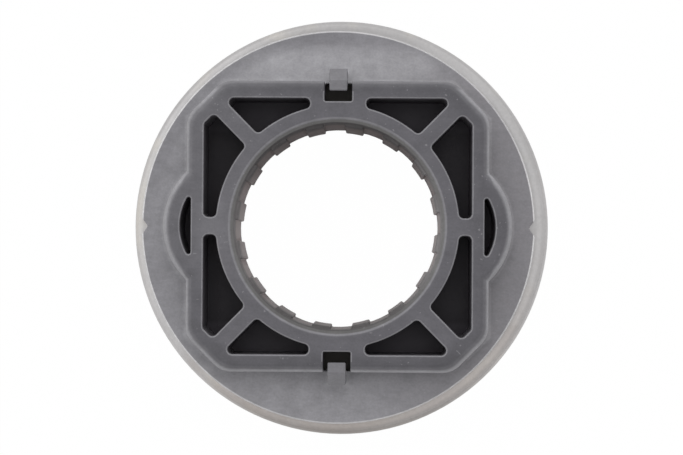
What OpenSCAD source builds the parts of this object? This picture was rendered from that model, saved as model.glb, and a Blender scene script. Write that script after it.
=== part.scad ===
// Self-centring clutch release bearing on a moulded guide sleeve.
// Z is the bearing axis. The contact face of the outer ring lies on z = 0, the lever side is up.
// X runs through the bulges of the lever frame, Y through the hooks. Sizes are in mm.

/* [Main sizes] */
// Outer diameter of the rotating ring
outer_dia = 73.8; // [73.2:0.2:76]
// Guide bore, measured over the rib crowns
guide_bore = 35; // [34:0.1:35.4]
// Height of the lever frame above the flange
frame_height = 8.6; // [7:0.2:11]
// Ribs around the guide bore
rib_count = 16; // [8:2:24]

/* [Guide sleeve] */
// Height of the ribs above the bore wall
rib_height = 0.55; // [0.4:0.05:0.8]
// Width of a rib as an angle
rib_angle = 10.5; // [8:0.5:12]
// Angle of the first rib
rib_start = -9; // [-12:0.5:-6]
// Run-out at both ends of a rib
rib_ramp = 0.7; // [0.3:0.1:1.5]
// Root of a rib in the tube wall
rib_root = 0.6; // [0.3:0.1:1]
// Plain bore between the ends of a rib and the cones
rib_inset = 0.3; // [0.2:0.1:1]
// Wall of the tube outside the rib grooves
tube_wall = 1.85; // [1.6:0.05:2]
// Height of the tube's front end above the contact face
tube_end = 0.8; // [0.4:0.1:1.6]
// Depth of the lead-in cone at the lever end
lead_depth = 1.4; // [1:0.1:2]
// Width of the lead-in cone
lead_width = 0.7; // [0.5:0.05:1.1]
// Broken edges of the tube's front end
edge_break = 0.3; // [0.2:0.05:0.4]
// Steel that shows around the flange
rim_show = 2.05; // [1.8:0.05:2.8]
// Flange thickness at its rim
flange_rim = 1.9; // [1.5:0.1:2.5]
// Rounding of the flange edge
flange_edge = 0.2; // [0.1:0.05:0.8]
// Radius of the round tip of each notch
notch_r = 0.55; // [0.3:0.05:0.7]
// Opening angle of each notch
notch_angle = 105; // [80:5:120]
// Depth of the notches
notch_depth = 0.95; // [0.6:0.05:1.3]

/* [Lever frame] */
// Half width along X
frame_x = 26.35; // [25.5:0.05:26.8]
// Half width along Y
frame_y = 25.35; // [24.5:0.05:25.6]
// Legs of the corner chamfers
frame_chamfer = 6.25; // [6:0.05:7.6]
// Rounding of the corners
frame_round = 4.2; // [2:0.2:5]
// Wall along the two sides with bulges
wall_x = 3.02; // [2.4:0.02:3.2]
// Wall along the two sides with hooks
wall_y = 3.06; // [2.3:0.01:3.4]
// Arc radius of the bulges
bulge_r = 13; // [12:0.1:14]
// How far the bulges stand out from the sides
bulge_out = 4.05; // [3.2:0.05:4.4]
// Wall outside the crescents in the bulges
bulge_wall = 2.95; // [2.2:0.05:3.2]
// Ring of the frame around the bore
hub_wall = 3.15; // [2.8:0.05:3.5]
// Width of the diagonal spokes
spoke_width = 2.95; // [2.6:0.05:3.8]
// Direction of the diagonal spokes
spoke_angle = 45.5; // [44:0.5:52]
// Angle around the hub at which the spokes start
spoke_place = 44.9; // [43:0.1:47]
// Width of the level webs between the side pockets
web_width = 3.06; // [2.5:0.02:3.6]
// Wall between a crescent and a side pocket
crescent_wall = 2.2; // [1.6:0.01:2.4]
// Length of the crescents
crescent_length = 10.8; // [9.8:0.05:11]
// Rounding of the crescents' tips
crescent_round = 0.38; // [0.2:0.02:0.4]
// Rounding of the pocket corners
pocket_round = 0.85; // [0.4:0.05:0.95]
// Floor left under the pockets
pocket_floor = 1.6; // [1.2:0.1:2.4]
// Root of the frame in the flange
frame_root = 0.9; // [0.5:0.1:1.2]
// Width of the broken top edge
frame_edge = 1; // [0.4:0.05:1.2]
// Height of the broken top edge
frame_edge_drop = 0.85; // [0.4:0.05:1.2]

/* [Hooks] */
// Width of the slot in front of a hook
slot_width = 4.8; // [4.4:0.1:5.2]
// Depth of the slot from the outside of the frame
slot_depth = 3.57; // [2.9:0.02:3.8]
// How far the slot opens the frame wall
slot_past = 0.1; // [0.05:0.05:0.3]
// Walls on both sides of the slot
slot_wall = 2.5; // [2:0.1:2.8]
// Width of a hook
hook_width = 3.16; // [2.8:0.02:3.6]
// Reach of the nose over the slot
nose_reach = 1.69; // [1:0.02:1.9]
// How far the hook stands out from the frame
hook_out = 2.3; // [2.1:0.05:3]
// Drop of the hook below the frame top
hook_drop = 0.5; // [0.2:0.1:1]
// Thickness of the nose
nose_thick = 1.1; // [0.8:0.1:1.6]
// Height of the slope under the nose
nose_slope = 1.3; // [1:0.1:2]
// Bevel on the back of the hook
hook_bevel = 2.2; // [1.6:0.1:2.5]
// Root of the hook in the flange
hook_root = 0.9; // [0.5:0.1:1.2]
// Rounding of the hook's edges
hook_round = 0.25; // [0.1:0.05:0.4]

/* [Balls and grooves] */
// Diameter of the balls
ball_dia = 7.144; // [6.8:0.001:7.2]
// Balls in the bearing
ball_count = 18; // [14:1:20]
// Gap between a ball and its grooves
groove_gap = 0.108; // [0.06:0.002:0.14]
// Depth of the grooves in the two walls
groove_depth = 0.28; // [0.2:0.02:0.5]

/* [Outer ring] */
// Open ring between the tube and the contact face
contact_gap = 2.1; // [1.8:0.1:2.4]
// Thickness of the contact face
contact_thick = 3.4; // [3:0.1:3.8]
// Inner rounding of the contact face
contact_round = 1.3; // [0.8:0.1:2]
// Outer rounding of the contact face
nose_round = 5.5; // [4.5:0.1:6.5]
// Steel left below the ball groove
race_floor = 2.82; // [2.5:0.02:3.1]
// Wall of the ring around the balls
ring_wall = 3; // [2.6:0.1:3.3]
// Height of the lip above the inner ring
lip_rise = 1.6; // [1.4:0.1:2]
// Width of the lip that is rolled in
lip_width = 4; // [3.6:0.1:4.3]
// Thickness of the lip
lip_thick = 1.8; // [1.5:0.1:2]
// Rounding of the lip
lip_round = 1.5; // [1:0.1:1.8]

/* [Inner ring] */
// Wall of the collar inside the balls
collar_wall = 2.7; // [2.3:0.1:3]
// Gap between the collar's end and the contact face
collar_gap = 1; // [0.8:0.1:1.4]
// Steel left above the ball groove
inner_cover = 2.22; // [2:0.02:2.6]
// Thickness of the flange that slides under the hub
inner_thick = 2.2; // [1.8:0.1:2.4]
// How far the ring reaches out past the ball centres
inner_reach = 1.2; // [0.9:0.1:1.5]
// Height of the shoulder where the groove ends
inner_shoulder = 0.48; // [0.3:0.02:0.8]
// Broken edges of the ring
inner_round = 0.5; // [0.3:0.1:0.8]

/* [Cage and seals] */
// Gap between a ball and its cage pocket
pocket_gap = 0.15; // [0.1:0.05:0.3]
// Width of the cage inside the ball centres
cage_inside = 2.2; // [1.8:0.1:2.6]
// Depth of the cage below the ball centres
cage_below = 1.3; // [1:0.1:1.5]
// Height of the cage bars above the ball centres
cage_above = 2.4; // [2.2:0.1:2.6]
// Gap between the cage and the outer ring
cage_gap = 0.4; // [0.3:0.1:0.6]
// Gap between the cage rim and the inner ring
cage_rim_gap = 0.35; // [0.25:0.05:0.5]
// Gap between the cage rim and the rear seal
cage_seal_gap = 0.3; // [0.2:0.1:0.5]
// Gap between the rear seal and the lip
rear_seal_gap = 0.2; // [0.1:0.1:0.4]
// Height of the rear seal
rear_seal_height = 1.6; // [1.3:0.1:1.8]
// Width of the rear seal's body
rear_seal_body = 1.1; // [0.9:0.1:1.3]
// Gap between the rear seal's lip and the inner ring
rear_lip_gap = 0.2; // [0.1:0.05:0.3]
// Gap between the front seal and the contact face
front_seal_gap = 0.15; // [0.1:0.05:0.25]
// Thickness of the front seal's body
front_seal_body = 0.5; // [0.4:0.05:0.6]

/* [Spring and retaining ring] */
// Thickness of the disc spring
spring_thick = 0.6; // [0.5:0.05:0.8]
// Width of the disc spring
spring_width = 1.9; // [1.5:0.1:1.9]
// Rise of the disc spring's cone
spring_rise = 0.7; // [0.4:0.05:0.8]
// Width of the retaining ring under the spring
snap_hold = 0.9; // [0.7:0.05:1]
// Depth of the retaining ring's groove
snap_depth = 0.5; // [0.3:0.05:0.7]
// Thickness of the retaining ring
snap_thick = 1.2; // [1:0.1:1.5]
// Opening of the retaining ring as an angle
snap_opening = 34; // [20:1:60]

/* [Float] */
// Play of the bearing on its sleeve, each way
float_play = 0.8; // [0.5:0.05:0.85]
// Where the bearing rests on its sleeve
rest_shift = 0.55; // [0:0.05:0.75]
// Gap left at the end of the play
float_gap = 0.2; // [0.1:0.05:0.25]

/* [Fits] */
// Running gap between flat faces that slide
slide_gap = 0.05; // [0.03:0.01:0.1]
// Gap of a pressed seat
seat_gap = 0.05; // [0.02:0.01:0.1]
// Gap between the flange rim and the turning lip
rim_gap = 0.5; // [0.3:0.05:1]

/* [Hidden] */
$fn = 96;
corner_fn = 28;
arc_fn = 144;
over = 1;
ball_names = [for (i = [1:ball_count]) str("ball_", i)];
fixed_names = ["guide_sleeve", "retaining_ring", "spring_washer", "inner_ring", "front_seal",
  "ball_cage", "outer_ring", "rear_seal"];

// Sleeve, from the bore outwards
crown_r = guide_bore / 2;
bore_r = crown_r + rib_height;
tube_r = bore_r + tube_wall;
hub_ring_r = bore_r + hub_wall;
contact_r = tube_r + contact_gap;
corner_play = float_play * sqrt(2) + float_gap;
side_play = float_play + float_gap;

// Bearing, from the outside inwards
outer_r = outer_dia / 2;
flange_r = outer_r - rim_show;
lip_r = outer_r - lip_width;
hub_r = lip_r - corner_play;
ring_wall_r = outer_r - ring_wall;
groove_r = ball_dia / 2 + groove_gap;
pitch_r = ring_wall_r + groove_depth - groove_r;
collar_out_r = pitch_r - groove_r + groove_depth;
collar_r = collar_out_r - collar_wall;
inner_edge_r = pitch_r + inner_reach;
inner_bore_r = tube_r + corner_play;
spring_in_r = tube_r + side_play;
spring_out_r = spring_in_r + spring_width;
snap_out_r = spring_in_r + float_play + snap_hold;

// Heights, from the contact face up
collar_end = contact_thick + collar_gap;
ball_z = race_floor + groove_r;
groove_end = ball_z + groove_r - inner_shoulder;
inner_top = ball_z + groove_r + inner_cover;
inner_lower = inner_top - inner_thick;
ring_height = inner_top + lip_rise;
rear_seal_to = ring_height - lip_thick - rear_seal_gap;
rear_seal_from = rear_seal_to - rear_seal_height;
hub_from = inner_top + slide_gap;
rim_from = ring_height + rim_gap;
flange_top = rim_from + flange_rim;
frame_top = flange_top + frame_height;
spring_to = inner_lower - slide_gap;
spring_from = spring_to - spring_rise - spring_thick;
snap_to = spring_from - slide_gap;
snap_from = snap_to - snap_thick;

// Lever frame
bulge_x = frame_x + bulge_out - bulge_r;
slot_from = frame_y - slot_depth;
slot_to = frame_y + slot_past;
hook_nose = frame_y - nose_reach;
hook_back = frame_y + hook_out;

function polar(r, angle) = r * [cos(angle), sin(angle)];

function arc(centre, r, from, to, steps) =
  [for (i = [0:steps]) centre + polar(r, from + (to - from) * i / steps)];

function octagon(x, y, leg) = [
  [x, leg - y], [x, y - leg], [x - leg, y], [leg - x, y],
  [-x, y - leg], [-x, leg - y], [leg - x, -y], [x - leg, -y]
];

module softened(r) {
  offset(r, $fn = corner_fn) offset(delta = -r) children();
}

module both_ways() {
  children();
  rotate(180) children();
}

module four_ways() {
  children();
  mirror([1, 0]) children();
  mirror([0, 1]) children();
  rotate(180) children();
}

module spokes() {
  four_ways()
    translate(polar(hub_ring_r, spoke_place))
      rotate(spoke_angle)
        translate([-spoke_width, -spoke_width / 2])
          square([frame_x, spoke_width]);
}

module pocket_outline() {
  softened(pocket_round)
    difference() {
      polygon(octagon(frame_x - wall_x, frame_y - wall_y, frame_chamfer - wall_x * (2 - sqrt(2))));
      circle(hub_ring_r, $fn = arc_fn);
      spokes();
      square([2 * frame_x, web_width], center = true);
      square([slot_width + 2 * slot_wall, 2 * frame_y], center = true);
    }
  both_ways()
    softened(crescent_round)
      intersection() {
        translate([bulge_x, 0]) circle(bulge_r - bulge_wall, $fn = arc_fn);
        translate([frame_x - wall_x + crescent_wall, -crescent_length / 2])
          square([bulge_r, crescent_length]);
      }
}

module notch_outline() {
  side = notch_angle / 2;
  start = notch_r * [-sin(side), cos(side)];
  end = start + 2 * notch_depth * [1, tan(side)];
  translate([flange_r - notch_depth + notch_r, 0]) {
    circle(notch_r);
    polygon([start, end, [end.x, -end.y], [start.x, -start.y]]);
  }
}

module frame_outline() {
  softened(frame_round)
    polygon(octagon(frame_x, frame_y, frame_chamfer));
}

module frame_block() {
  from = flange_top - frame_root;
  body = frame_top - from - frame_edge_drop;
  shrink = [1 - frame_edge / frame_x, 1 - frame_edge / frame_y];
  translate([0, 0, from])
    linear_extrude(body) frame_outline();
  translate([0, 0, from + body])
    linear_extrude(frame_edge_drop, scale = shrink, slices = 1) frame_outline();
  both_ways()
    translate([bulge_x, 0, from]) {
      cylinder(h = body, r = bulge_r);
      translate([0, 0, body])
        cylinder(h = frame_edge_drop, r1 = bulge_r, r2 = bulge_r - frame_edge);
    }
}

module hook() {
  top = frame_top - hook_drop;
  profile = [
    [slot_to, flange_top - hook_root],
    [hook_back, flange_top - hook_root],
    [hook_back, top - hook_bevel],
    [hook_back - hook_bevel, top],
    [hook_nose, top],
    [hook_nose, top - nose_thick],
    [slot_to, top - nose_thick - nose_slope]
  ];
  translate([-hook_width / 2, 0, 0])
    rotate([90, 0, 90])
      linear_extrude(hook_width)
        softened(hook_round) polygon(profile);
}

module flange() {
  rim = arc([flange_r - flange_edge, flange_top - flange_edge], flange_edge, 0, 90, 5);
  rotate_extrude()
    polygon(concat(
      [[bore_r, hub_from], [hub_r, hub_from], [hub_r, rim_from], [flange_r, rim_from]],
      rim,
      [[bore_r, flange_top]]
    ));
}

module tube() {
  rotate_extrude()
    polygon([
      [bore_r, tube_end + edge_break],
      [bore_r + edge_break, tube_end],
      [tube_r - edge_break, tube_end],
      [tube_r, tube_end + edge_break],
      [tube_r, snap_from - seat_gap],
      [tube_r - snap_depth, snap_from - seat_gap],
      [tube_r - snap_depth, snap_to + seat_gap],
      [tube_r, snap_to + seat_gap],
      [tube_r, hub_from + over],
      [bore_r, hub_from + over]
    ]);
}

module bore_cut() {
  rotate_extrude()
    polygon([
      [0, -over],
      [bore_r, -over],
      [bore_r, frame_top - lead_depth],
      [bore_r + lead_width, frame_top],
      [bore_r + lead_width, frame_top + over],
      [0, frame_top + over]
    ]);
}

module rib() {
  from = tube_end + edge_break + rib_inset;
  to = frame_top - lead_depth - rib_inset;
  rotate([0, 0, -rib_angle / 2])
    rotate_extrude(angle = rib_angle)
      polygon([
        [bore_r + rib_root, from],
        [bore_r, from],
        [crown_r, from + rib_ramp],
        [crown_r, to - rib_ramp],
        [bore_r, to],
        [bore_r + rib_root, to]
      ]);
}

module guide_sleeve() {
  color("dimgray")
    translate([-rest_shift, 0, 0]) {
      difference() {
        union() {
          flange();
          frame_block();
          tube();
        }
        bore_cut();
        translate([0, 0, hub_from + pocket_floor])
          linear_extrude(frame_top)
            pocket_outline();
        both_ways() {
          translate([-slot_width / 2, slot_from, 0])
            cube([slot_width, slot_to - slot_from, frame_top + over]);
          linear_extrude(frame_top) notch_outline();
        }
      }
      both_ways() hook();
      for (i = [0:rib_count - 1])
        rotate([0, 0, rib_start + i * 360 / rib_count]) rib();
    }
}

module retaining_ring() {
  color("silver")
    translate([-rest_shift, 0, snap_from])
      rotate([0, 0, 270 + snap_opening / 2])
        rotate_extrude(angle = 360 - snap_opening)
          translate([tube_r - snap_depth + seat_gap, 0])
            square([snap_out_r - tube_r + snap_depth - seat_gap, snap_thick]);
}

module spring_washer() {
  color("lightsteelblue")
    rotate_extrude()
      polygon([
        [spring_in_r, spring_from],
        [spring_out_r, spring_from + spring_rise],
        [spring_out_r, spring_to],
        [spring_in_r, spring_from + spring_thick]
      ]);
}

module inner_ring() {
  color("lightgray")
    rotate_extrude()
      difference() {
        polygon([
          [inner_bore_r, inner_lower],
          [collar_r - inner_round, inner_lower],
          [collar_r, inner_lower - inner_round],
          [collar_r, collar_end],
          [collar_out_r, collar_end],
          [collar_out_r, ball_z],
          [pitch_r, ball_z],
          [pitch_r, groove_end],
          [inner_edge_r, groove_end],
          [inner_edge_r, inner_top - inner_round],
          [inner_edge_r - inner_round, inner_top],
          [inner_bore_r, inner_top]
        ]);
        translate([pitch_r, ball_z]) circle(groove_r);
      }
}

module front_seal() {
  color("black")
    rotate_extrude()
      polygon([
        [collar_r, collar_end - seat_gap],
        [collar_out_r, collar_end - seat_gap],
        [collar_out_r, collar_end - front_seal_body],
        [collar_r + front_seal_body, contact_thick + front_seal_gap],
        [collar_r, contact_thick + front_seal_gap]
      ]);
}

module ball(i) {
  color("gainsboro")
    rotate([0, 0, (i - 1) * 360 / ball_count])
      translate([pitch_r, 0, ball_z])
        sphere(d = ball_dia);
}

module ball_cage() {
  in_r = pitch_r - cage_inside;
  out_r = ring_wall_r - cage_gap;
  rim_r = inner_edge_r + cage_rim_gap;
  from = ball_z - cage_below;
  bar_to = ball_z + cage_above;
  to = rear_seal_from - cage_seal_gap;
  color("saddlebrown")
    difference() {
      rotate_extrude()
        polygon([[in_r, from], [out_r, from], [out_r, to], [rim_r, to], [rim_r, bar_to], [in_r, bar_to]]);
      for (i = [1:ball_count])
        rotate([0, 0, (i - 1) * 360 / ball_count])
          translate([pitch_r, 0, ball_z])
            sphere(d = ball_dia + 2 * pocket_gap);
    }
}

module outer_ring() {
  nose = arc([outer_r - nose_round, nose_round], nose_round, -90, 0, 16);
  shoulder = arc([outer_r - lip_round, ring_height - lip_round], lip_round, 0, 90, 8);
  inner_nose = arc([contact_r + contact_round, contact_round], contact_round, 180, 270, 6);
  color("silver")
    rotate_extrude()
      difference() {
        polygon(concat(
          [[contact_r, contact_thick]],
          inner_nose,
          nose,
          shoulder,
          [
            [lip_r, ring_height],
            [lip_r, ring_height - lip_thick],
            [ring_wall_r, ring_height - lip_thick],
            [ring_wall_r, ball_z],
            [pitch_r, ball_z],
            [pitch_r, contact_thick]
          ]
        ));
        translate([pitch_r, ball_z]) circle(groove_r);
      }
}

module rear_seal() {
  body_r = ring_wall_r - seat_gap;
  color("black")
    rotate_extrude()
      polygon([
        [body_r, rear_seal_from],
        [body_r, rear_seal_to],
        [body_r - rear_seal_body, rear_seal_to],
        [inner_edge_r + rear_lip_gap, rear_seal_to - rear_seal_body / 2],
        [inner_edge_r + rear_lip_gap, rear_seal_to - rear_seal_body],
        [body_r - rear_seal_body, rear_seal_from]
      ]);
}

guide_sleeve();
retaining_ring();
spring_washer();
inner_ring();
front_seal();
ball_cage();
outer_ring();
rear_seal();
for (i = [1:ball_count])
  ball(i);
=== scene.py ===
import math

import bpy
from mathutils import Matrix, Vector

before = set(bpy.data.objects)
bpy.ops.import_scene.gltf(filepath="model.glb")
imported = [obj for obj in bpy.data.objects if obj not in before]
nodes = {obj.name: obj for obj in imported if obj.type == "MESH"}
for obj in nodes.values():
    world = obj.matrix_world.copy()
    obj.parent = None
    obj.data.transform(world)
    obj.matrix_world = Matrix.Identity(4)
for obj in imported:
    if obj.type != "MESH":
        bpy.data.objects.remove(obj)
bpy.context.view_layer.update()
sleeveX = -0.00055  # where the sleeve's axis lies
print("frame:", len(nodes), "nodes loaded")


class Wire:  # a socket that takes part in plain arithmetic
    def __init__(self, finish, socket):
        self.finish = finish
        self.socket = socket

    def calc(self, operation, *values):
        sockets = dict(enumerate(values))
        return self.finish.node("ShaderNodeMath", {"operation": operation}, sockets)

    def __add__(self, other):
        return self.calc("ADD", self, other)

    def __radd__(self, other):
        return self.calc("ADD", other, self)

    def __sub__(self, other):
        return self.calc("SUBTRACT", self, other)

    def __rsub__(self, other):
        return self.calc("SUBTRACT", other, self)

    def __mul__(self, other):
        return self.calc("MULTIPLY", self, other)

    def __rmul__(self, other):
        return self.calc("MULTIPLY", other, self)

    def __neg__(self):
        return self.calc("MULTIPLY", self, -1)

    def __pow__(self, other):
        return self.calc("POWER", self, other)

    def __abs__(self):
        return self.calc("ABSOLUTE", self)

    def __gt__(self, other):
        return self.calc("GREATER_THAN", self, other)

    def __lt__(self, other):
        return self.calc("LESS_THAN", self, other)

    def most(self, other):
        return self.calc("MAXIMUM", self, other)

    def least(self, other):
        return self.calc("MINIMUM", self, other)


class Finish:  # a material, the world or a node group, built node by node
    def __init__(self, name, tree=None):
        if tree is None:
            self.material = bpy.data.materials.new(name)
            self.material.use_nodes = True
            tree = self.material.node_tree
        self.tree = tree
        self.tree.nodes.clear()

    def node(self, kind, settings=None, sockets=None, out=0):
        made = self.tree.nodes.new(kind)
        for key, value in (settings or {}).items():
            if key == "stops":
                ramp = made.color_ramp.elements
                while len(ramp) < len(value):
                    ramp.new(0.5)
                for stop, (place, colour) in zip(ramp, value):
                    stop.position = place
                    stop.color = (*colour, 1)
            else:
                setattr(made, key, value)
        for key, value in (sockets or {}).items():
            if isinstance(value, Wire):
                self.tree.links.new(value.socket, made.inputs[key])
            elif isinstance(value, tuple) and made.inputs[key].type == "RGBA":
                made.inputs[key].default_value = (*value, 1)
            else:
                made.inputs[key].default_value = value
        return Wire(self, made.outputs[out]) if len(made.outputs) else made

    def mix(self, factor, first, second):
        settings = {"data_type": "RGBA", "clamp_factor": True}
        return self.node("ShaderNodeMix", settings, {0: factor, 6: first, 7: second}, 2)

    def coats(self, colour, layers):  # a layer is its share and its colour
        for share, layer in layers:
            colour = self.mix(share, colour, layer)
        return colour

    def tint(self, colour, value, spread):  # darker where value is low, paler where it is high
        stops = [(0.3, (1 - spread,) * 3), (0.7, (1 + spread,) * 3)]
        greys = self.node("ShaderNodeValToRGB", {"stops": stops}, {0: value})
        settings = {"data_type": "RGBA", "blend_type": "MULTIPLY"}
        return self.node("ShaderNodeMix", settings, {0: 1.0, 6: colour, 7: greys}, 2)

    def ramp(self, value, span):  # 0 before the span, 1 after it
        sockets = {"Value": value, "From Min": span[0], "From Max": span[1]}
        return self.node("ShaderNodeMapRange", {"interpolation_type": "SMOOTHSTEP"}, sockets)

    def fade(self, value, span):  # 1 before the span, 0 after it
        return 1 - self.ramp(value, span)

    def noise(self, place, scale, detail, rough=0.55):
        sockets = {"Vector": place, "Scale": scale, "Detail": detail, "Roughness": rough}
        return self.node("ShaderNodeTexNoise", {}, sockets)

    def spot(self):  # position on the object
        return self.node("ShaderNodeTexCoord", {}, {}, "Object")

    def split(self, vector):  # its x, y and z
        return [self.node("ShaderNodeSeparateXYZ", {}, {0: vector}, i) for i in range(3)]

    def rise(self):  # how far a face looks up
        facing = self.node("ShaderNodeNewGeometry", {}, {}, "Normal")
        return self.node("ShaderNodeSeparateXYZ", {}, {0: facing}, 2)

    def bump(self, height, depth, strength):
        sockets = {"Height": height, "Distance": depth, "Strength": strength}
        return self.node("ShaderNodeBump", {}, sockets)

    def close(self, sockets):
        shader = self.node("ShaderNodeBsdfPrincipled", {}, sockets)
        self.node("ShaderNodeOutputMaterial", {}, {"Surface": shader})
        return self.material


def along(x, y, way):  # how far a point lies in a direction
    return x * way[0] + y * way[1]


def sway(noise):  # a noise about zero
    return noise - 0.5


def dress(names, material):
    for name in names:
        slots = nodes[name].data.materials
        slots.clear()
        slots.append(material)


# camera
view = {
    "frameTop": 0.025,
    "distance": 0.400,  # above the frame's top
    "aside": (0.00566, -0.0067),  # from the sleeve's axis
    "aim": (0.00071, -0.00019),
    "roll": 0.37,
    "lens": 121.5,
    "sensor": 36,
    "nearest": 0.01,
}


def placeCamera():
    camera = bpy.data.objects.new("camera", bpy.data.cameras.new("camera"))
    bpy.context.scene.collection.objects.link(camera)
    camera.data.lens = view["lens"]
    camera.data.sensor_width = view["sensor"]
    camera.data.clip_start = view["nearest"]
    asideX, asideY = view["aside"]
    aimX, aimY = view["aim"]
    eye = Vector((sleeveX + asideX, asideY, view["frameTop"] + view["distance"]))
    aim = Vector((sleeveX + aimX, aimY, view["frameTop"]))
    back = (eye - aim).normalized()
    right = Vector((0, 1, 0)).cross(back).normalized()
    up = back.cross(right)
    turn = Matrix((right, up, back)).transposed().to_4x4()
    turn = turn @ Matrix.Rotation(math.radians(view["roll"]), 4, "Z")
    camera.matrix_world = Matrix.Translation(eye) @ turn
    bpy.context.scene.camera = camera


placeCamera()
bpy.context.scene.view_settings.view_transform = "Standard"
print("camera: placed over the lever side")

# studio
studio = {
    "white": (1.0, 1.0, 1.0),
    "overhead": 0.70,
    "horizon": 0.76,
    "climb": (0.1, 0.9),  # from the horizon's level to the overhead one
    "lean": (-0.17, 0.20),  # how much brighter the world is towards +x and +y
    "floor": 0.8,
    "floorSize": 6,
    "floorHeight": -0.0001,
    "floorGlow": 0.99,  # the rest takes the shadow
    "lampAim": (0, 0, 0.02),
    "lamps": {
        "windowLamp": {"place": (0.02, 0.60, 0.60), "size": 0.7, "watts": 1.7},
        "ceilingLamp": {"place": (0.02, 0.10, 0.95), "size": 0.5, "watts": 2.7},
    },
}


def lightWorld():
    world = bpy.data.worlds.new("studio")
    bpy.context.scene.world = world
    world.use_nodes = True
    finish = Finish("studio", world.node_tree)
    x, y, z = finish.split(finish.node("ShaderNodeTexCoord", {}, {}, "Generated"))
    leanX, leanY = studio["lean"]
    climb = finish.ramp(z, studio["climb"])
    level = studio["horizon"] + climb * (studio["overhead"] - studio["horizon"])
    level = level + x * leanX + y * leanY
    sockets = {"Color": studio["white"], "Strength": level}
    shine = finish.node("ShaderNodeBackground", {}, sockets)
    finish.node("ShaderNodeOutputWorld", {}, {"Surface": shine})


def layFloor():
    finish = Finish("paleFloor")
    diffuse = finish.node("ShaderNodeBsdfDiffuse", {}, {"Color": (studio["floor"],) * 3})
    glow = finish.node("ShaderNodeEmission", {}, {"Color": studio["white"], "Strength": 1.0})
    kinds = ("Is Camera Ray", "Is Glossy Ray", "Is Transmission Ray")
    straight, glossy, through = [finish.node("ShaderNodeLightPath", {}, {}, k) for k in kinds]
    seen = (straight + glossy + through) * studio["floorGlow"]
    both = finish.node("ShaderNodeMixShader", {}, {0: seen, 1: diffuse, 2: glow})
    finish.node("ShaderNodeOutputMaterial", {}, {"Surface": both})
    place = (0, 0, studio["floorHeight"])
    bpy.ops.mesh.primitive_plane_add(size=studio["floorSize"], location=place)
    floor = bpy.context.object
    floor.name = "floor"
    floor.data.materials.append(finish.material)


def hangLamps():
    for name, lamp in studio["lamps"].items():
        data = bpy.data.lights.new(name, "AREA")
        data.energy = lamp["watts"]
        data.size = lamp["size"]
        made = bpy.data.objects.new(name, data)
        made.location = lamp["place"]
        beam = Vector(studio["lampAim"]) - made.location
        made.rotation_euler = beam.to_track_quat("-Z", "Y").to_euler()
        made.visible_glossy = False  # the steel mirrors the world alone
        bpy.context.scene.collection.objects.link(made)


lightWorld()
layFloor()
hangLamps()
print("studio: floor, world and lamps")

# soft edges, as a mould or a lathe leaves them
edges = {
    "weld": 0.000001,
    "flat": 0.4,  # degrees within which faces become one
    "normalWeight": 50,
    "pieces": {
        "guide_sleeve": {"width": 0.00052, "steps": 5, "angle": 26},
        "outer_ring": {"width": 0.00018, "steps": 3, "angle": 28},
        "inner_ring": {"width": 0.00015, "steps": 2, "angle": 28},
        "retaining_ring": {"width": 0.00012, "steps": 2, "angle": 40},
        "spring_washer": {"width": 0.0001, "steps": 2, "angle": 40},
    },
}
shares = {  # of the sleeve's full edge width
    "low": 0.46,  # ribs, hooks and flange
    "mouth": 0.68,  # the pockets' square mouths
    "square": 70,  # degrees
    "topFrom": 0.0236,
    "hookFrom": 0.0232,
    "hookHalf": 0.002,
    "under": 0.6,  # below the frame's slanted edge, or the roundings would meet in a crease
    "underTo": 0.0247,
    "lead": 0.25,  # where the lead-in starts, just above the ribs
    "leadFrom": 0.02345,
    "leadTo": 0.02375,
    "boreRadius": 0.0187,
}


def weighEdges(stack, edge):  # the frame's top edges are rounder than the rest
    tree = bpy.data.node_groups.new("edgeWeights", "GeometryNodeTree")
    for way in ("INPUT", "OUTPUT"):
        tree.interface.new_socket("Geometry", in_out=way, socket_type="NodeSocketGeometry")
    finish = Finish("edgeWeights", tree)
    shape = finish.node("NodeGroupInput")
    x, y, z = finish.split(finish.node("GeometryNodeInputPosition"))
    x = x - sleeveX
    bend, fold = [finish.node("GeometryNodeInputMeshEdgeAngle", {}, {}, i) for i in range(2)]
    hook = (abs(y) > shares["hookFrom"]) * (abs(x) < shares["hookHalf"])
    top = (z > shares["topFrom"]) * (1 - hook)
    square = bend > math.radians(shares["square"])
    full = 1 - shares["low"] - square * (1 - shares["mouth"])
    weight = (bend > math.radians(edge["angle"])) * (shares["low"] + top * full)
    bore = x ** 2 + y * y < shares["boreRadius"] ** 2
    under = top * (z < shares["underTo"]) * (1 - bore)
    lead = bore * (z > shares["leadFrom"]) * (z < shares["leadTo"])
    weight = weight * (1 - under * (1 - shares["under"])) * (1 - lead * (1 - shares["lead"]))
    weight = weight * (1 - top * (fold < 0))  # the creases beside the bulges stay
    settings = {"data_type": "FLOAT", "domain": "EDGE"}
    sockets = {"Geometry": shape, "Name": "bevel_weight_edge", "Value": weight}
    kept = finish.node("GeometryNodeStoreNamedAttribute", settings, sockets)
    finish.node("NodeGroupOutput", {}, {0: kept})
    stack.new("weights", "NODES").node_group = tree


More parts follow.
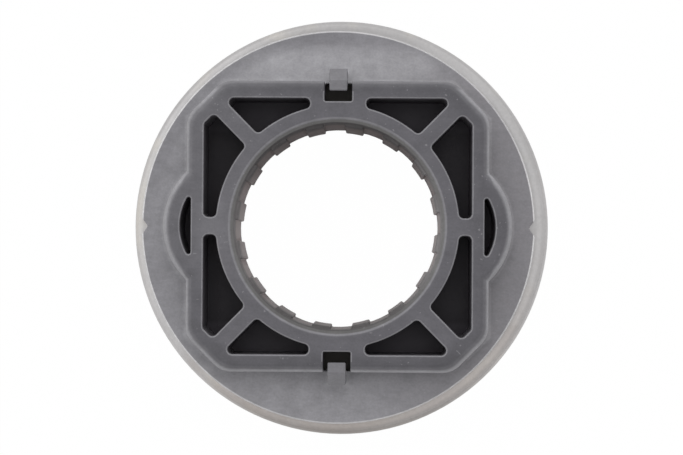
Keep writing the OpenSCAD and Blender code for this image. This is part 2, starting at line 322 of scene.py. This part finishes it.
def softenEdges():
    for name, edge in edges["pieces"].items():
        weighed = name == "guide_sleeve"
        stack = nodes[name].modifiers
        stack.new("weld", "WELD").merge_threshold = edges["weld"]
        flat = stack.new("flat", "DECIMATE")
        flat.decimate_type = "DISSOLVE"
        flat.angle_limit = math.radians(edges["flat"])
        if weighed:
            weighEdges(stack, edge)
        bevel = stack.new("bevel", "BEVEL")
        bevel.width = edge["width"]
        bevel.segments = edge["steps"]
        bevel.limit_method = "WEIGHT" if weighed else "ANGLE"
        bevel.angle_limit = math.radians(edge["angle"])
        bevel.use_clamp_overlap = False
        bevel.loop_slide = False
        bevel.miter_outer = "MITER_ARC"
        bevel.harden_normals = weighed
        if not weighed:
            stack.new("shade", "WEIGHTED_NORMAL").weight = edges["normalWeight"]


softenEdges()
print("edges: softened on", len(edges["pieces"]), "pieces")

# moulded sleeve: a pair says where a mask starts and where it ends
mould = {
    "frameColour": (0.103, 0.100, 0.111),
    "frameShade": (0.03, 0.03, 0.033),
    "flangeColour": (0.232, 0.228, 0.243),
    "hookColour": (0.158, 0.155, 0.166),
    "warmShade": (0.112, 0.096, 0.1),
    # the lead-in in greenish grey, made paler as painted light
    "leadColour": (0.175, 0.173, 0.172),
    "ribColour": (0.30, 0.257, 0.251),
    "boreLowColour": (0.33, 0.276, 0.272),  # the bore's far half
    "boreHighColour": (0.158, 0.15, 0.152),
    "boreShade": (0.03, 0.028, 0.027),
    # the colour of the painted highlights on the rounded edges, and of the nicks
    "highlightAndNickColour": (0.31, 0.306, 0.322),
    "flangeLightColour": (0.45, 0.445, 0.465),  # painted light: the paler strip along the frame's foot, also beside the hooks, at the hem and at the bottom
    "rimHighlightColour": (0.46, 0.454, 0.462),
    "brightHighlightColour": (0.58, 0.573, 0.58),
    "wallColour": (0.12, 0.114, 0.126),
    # painted shade: the pockets' nearly black floors
    "pocketFloorShade": (0.019, 0.0168, 0.0205),
    "pocketEndShade": (0.032, 0.0286, 0.0346),  # in the pockets beside the hooks
    # where the flange, hooks and bore lie
    "flangeTop": (0.0165, 0.0170),
    "rimRadius": (0.03453, 0.03463),
    "hookY": (0.0233, 0.0235),
    "hookHalf": 0.0018,
    "hookInset": 0.0002,
    "hookBack": 0.02765,
    "boreRadius": (0.0181, 0.0183),
    "ribRadius": 0.0177,
    "leadRadius": 0.0194,
    "leadFrom": 0.0235,
    "leadRise": (0.6, 0.78),
    # where the frame and its pockets lie
    "frameX": 0.02635,
    "frameY": 0.02535,
    "frameCorner": 0.03215,  # from the axis to a cut corner
    "bulgeX": 0.0174,
    "bulgeRadius": 0.013,
    "pocketX": 0.0245,  # half reach of the pockets
    "pocketY": 0.0235,
    "pocketCorner": 0.0433,  # x and y together at a cut corner
    "crescentIn": -0.0023,  # from the bulge's outside
    "crescentY": 0.0056,
    "hollowTop": (0.0242, 0.0247),
    "endsX": 0.009,
    "endsReach": (0.0165, 0.0175),
    "floorRise": (0.3, 0.6),
    # painted highlights on the rounded edges, and nicks
    "slopeFrom": (0.05, 0.3),  # how far a rounded edge looks up
    "slopeTo": (0.9, 0.995),
    "steepTo": (0.62, 0.93),
    "lobeX": (0.0262, 0.0272),
    "lobeLift": 0.0002,  # the painted highlight reaches higher on the bulges
    "browFrom": (0.02364, 0.02392),  # heights on the frame's slanted edge
    "browEase": (0.0243, 0.02474),
    "browEaseShare": 0.8,
    "browTo": (0.02478, 0.02499),
    "browToShare": 0.2,
    "browRise": (0.02, 0.12),
    "pocketHighlight": 0.5,
    "mouthHighlight": 0.45,
    "hookHighlight": 0.25,
    "frameHighlight": 0.78,
    "highlightTop": (0.0235, 0.0245),  # less on the edge at +y
    "highlightTopLess": 0.5,
    "nicks": (0.72, 0.78),
    "nickShare": 0.35,
    # painted shade and painted light on the frame and its lead-in, and the paler land
    "cornerReach": (0.0385, 0.0425),
    "outsideX": 0.001,
    "outsideReach": (0.0205, 0.0245),
    "outsideShade": 0.17,
    "outsideEnd": (0.0212, 0.0232),
    "outsideEndShade": 0.12,
    "outsideCornerShade": 0.06,
    "leftX": (0.006, 0.024),
    "leftLightShare": 0.3,
    "leftLower": (0.004, 0.012),
    "leftLowerLess": 0.24,
    "landX": (0.018, 0.022),  # between the bore and the left bulge
    "landHalf": 0.004,
    "landPale": 0.22,
    "leadLower": (0.006, 0.016),
    "leadLowerShade": 0.35,
    # painted light and shade on the flange, and its warm tint
    "northY": (0.018, 0.026),
    "northX": (0.013, 0.021),
    "footFrom": 0.0035,
    "footWidth": 0.0045,
    "footWider": 0.0038,  # beyond that at +y
    "footShare": 0.5,
    "footNorth": 0.9,
    "southY": (0.018, 0.026),
    "footSouth": 0.4,
    "eastX": (0.016, 0.026),
    "footEast": 0.3,
    "footPale": 0.3,
    "besideReach": (0.0, 0.0009),  # painted light beside the hooks
    "besideY": (0.0245, 0.0252),
    "besidePale": 0.35,
    "hemFrom": 0.0006,  # painted highlight: a narrow pale line at the frame's foot
    "hemTo": 0.0013,
    "hemRight": (0.0, 0.02),
    "hemRightLess": 0.0003,
    "hemLower": (0.0225, 0.0252),
    "hemPale": 0.36,
    "shadowRadius": (0.0318, 0.033),
    "shadowWay": (-0.6, 0.8),
    "shadowReach": (0.022, 0.03),
    "shadowShade": 0.24,
    "warmX": (0.0, 0.03),
    "warmLeast": 0.17,
    "warmCloud": (0.45, 0.6),
    "warmCloudMore": 0.07,
    "upperY": (0.0305, 0.0335),
    "upperShade": 0.2,
    "lowerY": (0.016, 0.03),
    "lowerPale": 0.14,
    "lowerRight": (0.0, 0.016),
    "lowerRightLess": 0.1,
    "rimLeft": (0.01, 0.03),
    "rimRight": (0.030, 0.0338),
    "rimRightShare": 0.9,
    # the bore's tones, with painted shade at its top, bottom and far end and painted light on its
    # right
    "ribShare": 0.4,
    "boreHigh": (0.0155, 0.0225),
    "boreUpper": (0.002, 0.015),
    "boreUpperShade": 0.48,
    "boreLower": (0.004, 0.016),
    "boreLowerShade": 0.5,
    "boreFoot": (0.0012, 0.0045),
    "boreFootShade": 0.45,
    "boreRight": (0.008, 0.017),
    "boreRightPale": 0.15,
    # grain and gloss: a noise has its scale, detail and roughness
    "grain": (2600, 4.0),
    "cloud": (330, 5.0, 0.65),
    "streaks": (1.0, 3.0),
    "streakScale": (550, 1500, 1500),
    "nickNoise": (1500, 1.0),
    "cloudSpread": 0.11,
    "grainSpread": 0.12,
    "grainMix": 0.6,
    "streakMix": 0.4,
    "rough": 0.5,
    "grainRough": 0.25,
    "cloudRough": 0.2,
    "flangeSmooth": 0.05,
    "boreRough": 0.15,
    "boreRoughY": (0.0, 0.014),
    "boreRoughMore": 0.3,
    "streakRelief": 0.5,
    "relief": (0.00003, 0.4),  # depth and strength
    "specular": 0.3,
}


def mouldedPlastic():
    finish = Finish("mouldedPlastic")
    spot = finish.spot()
    x, y, z = finish.split(spot)
    x = x - sleeveX
    left, down = -x, -y
    wide, tall = abs(x), abs(y)
    radius = (x * x + y * y) ** 0.5
    rise = finish.rise()

    # flange, hooks, bore and lead-in
    low = finish.fade(z, mould["flangeTop"])
    high = 1 - low
    hook = finish.ramp(tall, mould["hookY"]) * (wide < mould["hookHalf"])
    bore = finish.fade(radius, mould["boreRadius"])
    mouth = (radius < mould["leadRadius"]) * (z > mould["leadFrom"])
    lead = mouth * finish.fade(rise, mould["leadRise"])
    rim = finish.ramp(radius, mould["rimRadius"]) * low

    # the frame's outline, and its pockets and crescents
    sides = (wide - mould["frameX"]).most(tall - mould["frameY"])
    sides = sides.most((wide + tall) * math.sqrt(0.5) - mould["frameCorner"])
    bulge = ((wide - mould["bulgeX"]) ** 2 + y * y) ** 0.5 - mould["bulgeRadius"]
    outline = sides.least(bulge)  # how far outside the frame
    pocket = (wide < mould["pocketX"]) * (tall < mould["pocketY"])
    pocket = pocket * (wide + tall < mould["pocketCorner"])
    crescent = (bulge < mould["crescentIn"]) * (tall < mould["crescentY"])
    within = pocket.most(crescent) * (radius > mould["leadRadius"])
    hollow = within * finish.fade(z, mould["hollowTop"])
    corner = finish.ramp(wide + tall, mould["cornerReach"])
    outside = finish.ramp((wide - mould["outsideX"]).most(tall), mould["outsideReach"])
    outside = outside.most(corner) * high * (1 - hook)

    # painted highlights on the rounded edges
    slope = finish.ramp(rise, mould["slopeFrom"]) * finish.fade(rise, mould["slopeTo"])
    steep = slope * finish.fade(rise, mould["steepTo"])
    lobe = finish.ramp(wide, mould["lobeX"]) * mould["lobeLift"]
    ease = finish.ramp(z - lobe, mould["browEase"]) * mould["browEaseShare"]
    end = finish.ramp(z, mould["browTo"]) * mould["browToShare"]
    brow = finish.ramp(z, mould["browFrom"]) * (1 - ease - end)
    brow = brow * finish.ramp(rise, mould["browRise"])
    edgeHighlight = brow * (1 - hook) + steep * hook * mould["hookHighlight"]
    edgeHighlight = (1 - within) * (1 - mouth) * edgeHighlight * mould["frameHighlight"]
    edgeHighlight = edgeHighlight * (1 - finish.ramp(y, mould["highlightTop"]) * mould["highlightTopLess"])
    edgeHighlights = within * slope * mould["pocketHighlight"] + mouth * slope * mould["mouthHighlight"] + edgeHighlight

    # painted light and painted shade on the flange: its paler and darker parts
    north = finish.ramp(y, mould["northY"]) * finish.fade(wide, mould["northX"])
    south = finish.ramp(down, mould["southY"]) * mould["footSouth"]
    east = finish.ramp(x, mould["eastX"]) * mould["footEast"]
    footTo = mould["footWidth"] + north * mould["footWider"]
    foot = low * finish.fade(outline, (north * mould["footFrom"], footTo))
    foot = foot * (mould["footShare"] + north * mould["footNorth"] - south - east)
    beside = wide - mould["hookHalf"] + mould["hookInset"]
    beside = beside.most(tall - mould["hookBack"])
    beside = low * finish.fade(beside, mould["besideReach"]) * finish.ramp(tall, mould["besideY"])
    hemTo = mould["hemTo"] - finish.ramp(x, mould["hemRight"]) * mould["hemRightLess"]
    hem = low * finish.fade(outline, (mould["hemFrom"], hemTo))
    hem = hem * finish.fade(down, mould["hemLower"])
    shadow = finish.ramp(along(x, y, mould["shadowWay"]), mould["shadowReach"])
    shadow = finish.ramp(radius, mould["shadowRadius"]) * shadow * low

    # grain
    scaleX, scaleY, scaleZ = mould["streakScale"]
    stretched = {0: x * scaleX, 1: y * scaleY, 2: z * scaleZ}
    grain = finish.noise(spot, *mould["grain"])
    cloud = finish.noise(spot, *mould["cloud"])
    streaks = finish.noise(finish.node("ShaderNodeCombineXYZ", {}, stretched), *mould["streaks"])
    nicks = finish.ramp(finish.noise(spot, *mould["nickNoise"]), mould["nicks"])

    # frame and flange
    # painted shade: the frame darker towards its outer band, its ends and its cut corners
    shade = mould["outsideShade"]
    shade = shade + finish.ramp(tall, mould["outsideEnd"]) * mould["outsideEndShade"]
    shade = outside * (shade + corner * mould["outsideCornerShade"])
    # painted light: the frame paler towards the left, less so lower down
    pale = mould["leftLightShare"] - finish.ramp(down, mould["leftLower"]) * mould["leftLowerLess"]
    pale = finish.ramp(left, mould["leftX"]) * high * pale
    land = finish.ramp(left, mould["landX"]) * (tall < mould["landHalf"])
    land = land * (1 - outside) * high * mould["landPale"]
    leadShade = lead * finish.ramp(down, mould["leadLower"]) * mould["leadLowerShade"]
    # painted shade: the flange darker and warmer towards +x
    warmth = mould["warmLeast"] + finish.ramp(cloud, mould["warmCloud"]) * mould["warmCloudMore"]
    warmth = finish.ramp(x, mould["warmX"]) * warmth
    # painted shade at the flange's top, painted light at its bottom, less so on the right
    upper = finish.ramp(y, mould["upperY"]) * low * mould["upperShade"]
    lower = mould["lowerPale"] - finish.ramp(x, mould["lowerRight"]) * mould["lowerRightLess"]
    lower = finish.ramp(down, mould["lowerY"]) * low * lower
    # painted highlight along the flange's rim, brighter at the left and right
    bright = finish.ramp(left, mould["rimLeft"])
    bright = bright + finish.ramp(x, mould["rimRight"]) * mould["rimRightShare"]
    rimHighlight = finish.mix(bright, mould["rimHighlightColour"], mould["brightHighlightColour"])
    colour = finish.coats(mould["frameColour"], [
        (low, mould["flangeColour"]),
        (hook * high, mould["hookColour"]),
        (shade, mould["frameShade"]),
        # painted light on the frame's left side
        (pale, mould["hookColour"]),
        (land, mould["flangeColour"]),
        # painted highlights on the rounded edges
        (edgeHighlights, mould["highlightAndNickColour"]),
        # painted light on the lead-in, and painted shade on its lower side
        (lead, mould["leadColour"]),
        (leadShade, mould["boreShade"]),
        # painted light on the flange: along the frame's foot, beside the hooks and at the hem
        (foot * mould["footPale"], mould["flangeLightColour"]),
        (beside * mould["besidePale"], mould["flangeLightColour"]),
        (hem * mould["hemPale"], mould["flangeLightColour"]),
        (shadow * mould["shadowShade"], mould["frameColour"]),
        (warmth * low, mould["warmShade"]),
        (upper, mould["frameColour"]),
        (lower, mould["flangeLightColour"]),
        # painted highlight on the flange's rim
        (rim, rimHighlight),
    ])

    # bore
    boreShade = finish.ramp(y, mould["boreUpper"]) * mould["boreUpperShade"]
    boreShade = boreShade + finish.ramp(down, mould["boreLower"]) * mould["boreLowerShade"]
    inner = finish.coats(mould["boreLowColour"], [
        ((radius < mould["ribRadius"]) * mould["ribShare"], mould["ribColour"]),
        (finish.ramp(z, mould["boreHigh"]), mould["boreHighColour"]),
        (boreShade, mould["boreShade"]),
        (finish.fade(z, mould["boreFoot"]) * mould["boreFootShade"], mould["boreShade"]),
        # painted light on the bore's right side
        (finish.ramp(x, mould["boreRight"]) * mould["boreRightPale"], mould["brightHighlightColour"]),
    ])
    colour = finish.mix(bore, colour, inner)

    # grain over all of it, then the painted shade in the pockets
    colour = finish.tint(colour, cloud, mould["cloudSpread"])
    fine = grain * mould["grainMix"] + streaks * mould["streakMix"]
    colour = finish.tint(colour, fine, mould["grainSpread"])
    colour = finish.mix(nicks * mould["nickShare"], colour, mould["highlightAndNickColour"])
    # painted shade in the pockets: nearly black floors, less dark beside the hooks, walls in a
    # frame-like grey
    ends = finish.ramp(tall.most(wide - mould["endsX"]), mould["endsReach"])
    ground = finish.mix(ends, mould["pocketFloorShade"], mould["pocketEndShade"])
    pocketShade = finish.mix(finish.ramp(rise, mould["floorRise"]), mould["wallColour"], ground)
    colour = finish.mix(hollow, colour, pocketShade)

    # gloss and relief
    rough = mould["rough"] + sway(grain) * mould["grainRough"] + sway(cloud) * mould["cloudRough"]
    upperRough = finish.ramp(y, mould["boreRoughY"]) * mould["boreRoughMore"]
    rough = rough - low * mould["flangeSmooth"] + bore * (mould["boreRough"] + upperRough)
    normal = finish.bump(grain + streaks * mould["streakRelief"], *mould["relief"])
    return finish.close({
        "Base Color": colour,
        "Roughness": rough,
        "Normal": normal,
        "Specular IOR Level": mould["specular"],
    })


dress(["guide_sleeve"], mouldedPlastic())
print("sleeve: moulded plastic")

# bearing steel
steel = {
    "kinds": {  # warm and rim say how strongly the warm tint and the rim's painted light, painted shade and stains show
        "turnedSteel": {
            "pieces": ["outer_ring"],
            "colour": (0.675, 0.662, 0.664),
            "rough": 0.34,
            "warm": 0.7,
            "rim": 0.32,
        },
        "greasedSteel": {
            "pieces": ["inner_ring"],
            "colour": (0.085, 0.08, 0.075),
            "rough": 0.45,
            "warm": 0.0,
            "rim": 0.0,
        },
        "springSteel": {
            "pieces": ["retaining_ring", "spring_washer"],
            "colour": (0.33, 0.33, 0.35),
            "rough": 0.34,
            "warm": 0.0,
            "rim": 0.0,
        },
    },
    # painted highlights and reflections on the rim
    "bright": (0.80, 0.785, 0.785),
    "warm": (0.565, 0.495, 0.452),
    # painted shade on the rim, also the cloud's random darker tone
    "dimTone": (0.38, 0.369, 0.369),
    "stain": (0.79, 0.742, 0.655),  # pale yellowish patches
    "shade": (0.21, 0.192, 0.178),
    # noises: scale and detail
    "turning": 9000,  # turning marks follow radius and height
    "marks": (1.0, 2.0),
    "cloud": (160, 4.0),
    "speckle": (1700, 3.0),
    "stainNoise": (75, 2.0),
    # where the tints, the painted light and the painted shade lie, and how strong they are
    "warmWay": (0.3, -1),
    "warmCloud": 0.03,
    "warmReach": (0.006, 0.036),
    "shoulder": (0.0355, 0.0368),
    "verge": (0.0361, 0.0367),
    # painted shadow in the gap beside the flange
    "gapShadowRadius": (0.0345, 0.0352),
    "gapShadowX": (0.02, 0.03),
    "leftX": (0.029, 0.036),
    "leftShare": 0.4,
    "glintWay": (0.8, 0.6),
    "glintReach": (0.024, 0.036),
    "glintShare": 0.4,
    "cloudShare": 0.3,
    "topY": (0.029, 0.036),
    "flareWay": (0.82, -0.57),
    "flareReach": (0.018, 0.031),
    "flareLeast": 0.3,
    "flareOuter": 0.7,
    "flareVergeLess": 0.8,
    "flareShare": 2.6,
    "lineRadius": (0.0356, 0.0362),
    "lineX": (0.026, 0.034),
    "lineShare": 1.2,
    "sideRadius": (0.0359, 0.0364),
    "sideWay": (-0.87, 0.5),
    "sideReach": (0.024, 0.034),
    "sideShare": 0.7,
    "vergeRight": (0.006, 0.024),
    "vergeRightMore": 0.5,
    "vergeShare": 1.5,
    "lowerWay": (0.1, -0.98),
    "lowerReach": (0.024, 0.038),
    "lowerLeast": 0.2,
    "lowerOuter": 0.25,
    "lowerVerge": 0.55,
    "lowerShare": 2.5,
    "stainFrom": (0.5, 0.66),
    "stainRise": (0.25, 0.6),
    "stainShare": 1.2,
    # grain and gloss
    "speckleMix": 0.5,
    "marksMix": 0.5,
    "spread": 0.09,
    "marksRough": 0.12,
    "cloudRough": 0.12,
    "relief": (0.000004, 0.35),  # depth and strength
}


def turnedSteel(name, kind):
    finish = Finish(name)
    spot = finish.spot()
    x, y, z = finish.split(spot)
    left = -x
    radius = (x * x + y * y) ** 0.5
    rings = {0: radius * steel["turning"], 1: z * steel["turning"], 2: 0.0}
    marks = finish.noise(finish.node("ShaderNodeCombineXYZ", {}, rings), *steel["marks"])
    cloud = finish.noise(spot, *steel["cloud"])
    speckle = finish.noise(spot, *steel["speckle"])

    # areas of the rim, for its painted light and painted shade
    rim = kind["rim"]
    outer = finish.ramp(radius, steel["shoulder"])
    verge = finish.ramp(radius, steel["verge"])
    lower = finish.ramp(along(x, y, steel["lowerWay"]), steel["lowerReach"])
    warmth = along(x, y, steel["warmWay"]) + sway(cloud) * steel["warmCloud"]
    warmth = finish.ramp(warmth, steel["warmReach"])
    # painted shadow in the gap beside the flange's edge, on the right
    gapShadow = finish.fade(radius, steel["gapShadowRadius"]) * finish.ramp(x, steel["gapShadowX"])
    glint = finish.ramp(along(x, y, steel["glintWay"]), steel["glintReach"])
    flare = steel["flareLeast"] + outer * steel["flareOuter"]
    flare = flare * (1 - verge * steel["flareVergeLess"])
    flare = flare * finish.ramp(along(x, y, steel["flareWay"]), steel["flareReach"])
    # painted highlight: a bright line along the rim's inner edge on the left
    line = finish.fade(radius, steel["lineRadius"]) * finish.ramp(left, steel["lineX"])
    # painted shade on the outer edge at the upper left
    side = finish.ramp(along(x, y, steel["sideWay"]), steel["sideReach"])
    side = finish.ramp(radius, steel["sideRadius"]) * side
    # painted shade on the outermost edge, more on the right
    vergeShade = verge * (1 + finish.ramp(x, steel["vergeRight"]) * steel["vergeRightMore"])
    shade = steel["lowerLeast"] + outer * steel["lowerOuter"] + verge * steel["lowerVerge"]
    stains = finish.ramp(finish.noise(spot, *steel["stainNoise"]), steel["stainFrom"])
    stains = stains * finish.ramp(finish.rise(), steel["stainRise"]) * (1 - lower)

    tint = finish.coats(kind["colour"], [
        (warmth * kind["warm"], steel["warm"]),
        # painted reflection: the rim brighter towards the left
        (finish.ramp(left, steel["leftX"]) * rim * steel["leftShare"], steel["bright"]),
        (gapShadow * rim, steel["dimTone"]),
        (glint * rim * steel["glintShare"], steel["bright"]),
        # painted shade on the outer shoulder and at the top, with the cloud's random tone
        (outer * rim + sway(cloud) * steel["cloudShare"], steel["dimTone"]),
        (finish.ramp(y, steel["topY"]) * rim, steel["dimTone"]),
        (flare * rim * steel["flareShare"], steel["bright"]),
        (line * rim * steel["lineShare"], steel["bright"]),
        (side * rim * steel["sideShare"], steel["dimTone"]),
        (vergeShade * rim * steel["vergeShare"], steel["dimTone"]),
        (shade * lower * rim * steel["lowerShare"], steel["shade"]),
        (stains * rim * steel["stainShare"], steel["stain"]),
    ])
    fine = speckle * steel["speckleMix"] + marks * steel["marksMix"]
    tint = finish.tint(tint, fine, steel["spread"])
    rough = kind["rough"] + sway(marks) * steel["marksRough"] + sway(cloud) * steel["cloudRough"]
    normal = finish.bump(marks, *steel["relief"])
    return finish.close({
        "Base Color": tint,
        "Metallic": 1.0,
        "Roughness": rough,
        "Normal": normal,
    })


for steelName, steelKind in steel["kinds"].items():
    dress(steelKind["pieces"], turnedSteel(steelName, steelKind))
print("rings: turned steel")

# balls, cage and seals
inside = {
    "polishedSteel": {
        "colour": (0.72, 0.72, 0.73),
        "haze": (0.5, 0.49, 0.48),
        "hazeShare": 0.3,
        "grain": (700, 3.0),  # scale and detail
        "rough": (0.06, 0.1),  # the least, and what the grain adds
        "metal": 1.0,
        "relief": None,
    },
    "cagePlastic": {
        "colour": (0.30, 0.17, 0.07),
        "haze": (0.42, 0.27, 0.12),
        "hazeShare": 0.5,
        "grain": (1500, 4.0),
        "rough": (0.42, 0.15),
        "metal": 0.0,
        "relief": (0.00002, 0.5),  # depth and strength
    },
    "sealRubber": {
        "colour": (0.018, 0.018, 0.019),
        "haze": (0.05, 0.049, 0.047),
        "hazeShare": 0.4,
        "grain": (900, 4.0),
        "rough": (0.6, 0.2),
        "metal": 0.0,
        "relief": (0.00002, 0.6),
    },
}


def insideFinish(name):
    kind = inside[name]
    finish = Finish(name)
    grain = finish.noise(finish.spot(), *kind["grain"])
    least, more = kind["rough"]
    sockets = {
        "Base Color": finish.mix(grain * kind["hazeShare"], kind["colour"], kind["haze"]),
        "Metallic": kind["metal"],
        "Roughness": least + grain * more,
    }
    if kind["relief"]:
        sockets["Normal"] = finish.bump(grain, *kind["relief"])
    return finish.close(sockets)


balls = [n for n in nodes if n.startswith("ball_") and n != "ball_cage"]
dress(balls, insideFinish("polishedSteel"))
dress(["ball_cage"], insideFinish("cagePlastic"))
dress(["front_seal", "rear_seal"], insideFinish("sealRubber"))
print("inside: balls, cage and seals")
